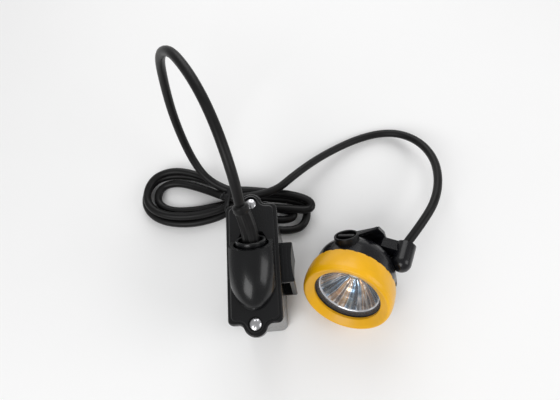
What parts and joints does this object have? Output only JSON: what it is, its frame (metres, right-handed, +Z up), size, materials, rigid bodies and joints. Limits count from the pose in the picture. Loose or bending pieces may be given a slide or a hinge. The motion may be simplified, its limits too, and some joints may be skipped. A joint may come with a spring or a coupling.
{
  "type": "corded miner's cap lamp",
  "caption": "Cap lamp for miners: yellow-rimmed headpiece with a rotary switch, black belt battery pack, and a hanked black cable between them.",
  "frame": {"origin": "centre of the battery pack's base, on the surface that the lamp stands on", "axes": "+Z up, +Y along the pack's long side, towards the side that the cable leaves, +X towards the belt loop"},
  "size_m": [0.2692, 0.1936, 0.1573],
  "materials": {
    "case_black": "moulded black plastic with a soft gloss",
    "head_black": "smooth satin black plastic",
    "loop_black": "ribbed black plastic",
    "hook_black": "black plastic with worn pale edges",
    "knob_black": "matt black plastic",
    "seal_rubber": "black rubber",
    "cable_rubber": "smooth black rubber sheath",
    "tie_black": "plastic-covered wire",
    "screw_chrome": "polished domed head",
    "screw_steel": "plain steel",
    "insert_brass": "turned brass",
    "strip_nickel": "nickel strip",
    "holder_plastic": "moulded holder",
    "pad_foam": "grey foam",
    "board_green": "circuit board",
    "board_white": "metal-core board",
    "cell_sleeve": "sleeved round cell",
    "bezel_yellow": "yellow moulded plastic, satin gloss",
    "lens_clear": "clear polycarbonate",
    "seat_brown": "dark brown-black ring",
    "reflector_chrome": "plated faceted bowl",
    "led_yellow": "phosphor",
    "sink_aluminium": "machined"
  },
  "bodies": {
    "root": {"battery_case": "case_black", "cover_gasket": "seal_rubber", "top_cover": "case_black", "cover_screws": "screw_chrome", "screw_inserts": "insert_brass", "gland_nut": "case_black", "gland_seal": "seal_rubber", "strain_relief": "cable_rubber", "belt_loop": "loop_black", "cell_tray": "holder_plastic", "cell_cap": "holder_plastic", "foam_pads": "pad_foam", "bus_strips": "strip_nickel", "protection_board": "board_green", "cord_loop": "cable_rubber", "cord_lead": "cable_rubber", "cord_hank": "cable_rubber", "hank_tie": "tie_black", "battery_cell_1": "cell_sleeve", "battery_cell_2": "cell_sleeve", "battery_cell_3": "cell_sleeve", "battery_cell_4": "cell_sleeve", "front_bezel": "bezel_yellow", "lens_seal": "seal_rubber", "lens": "lens_clear", "seat_ring": "seat_brown", "reflector": "reflector_chrome", "main_led": "led_yellow", "led_board": "board_white", "heat_sink": "sink_aluminium", "board_pillars": "insert_brass", "driver_board": "board_green", "head_housing": "head_black", "cable_grommet": "cable_rubber", "cap_hook": "hook_black", "hook_screws": "screw_steel", "charge_pin": "insert_brass", "charge_bush": "holder_plastic", "switch_collar": "head_black", "switch_oring": "seal_rubber", "switch_base": "holder_plastic", "detent_spring": "screw_steel", "detent_ball": "screw_steel"},
    "switch": {"switch_knob": "knob_black", "switch_shaft": "screw_steel", "switch_rotor": "insert_brass"}
  },
  "joints": [
    {"name": "switch_turn", "type": "hinge", "parent": "root", "child": "switch", "pos_m": [0.06817, 0.01813, 0.04994], "axis": [-0.1294, 0.771, 0.6236], "range_deg": [-45, 45]}
  ]
}
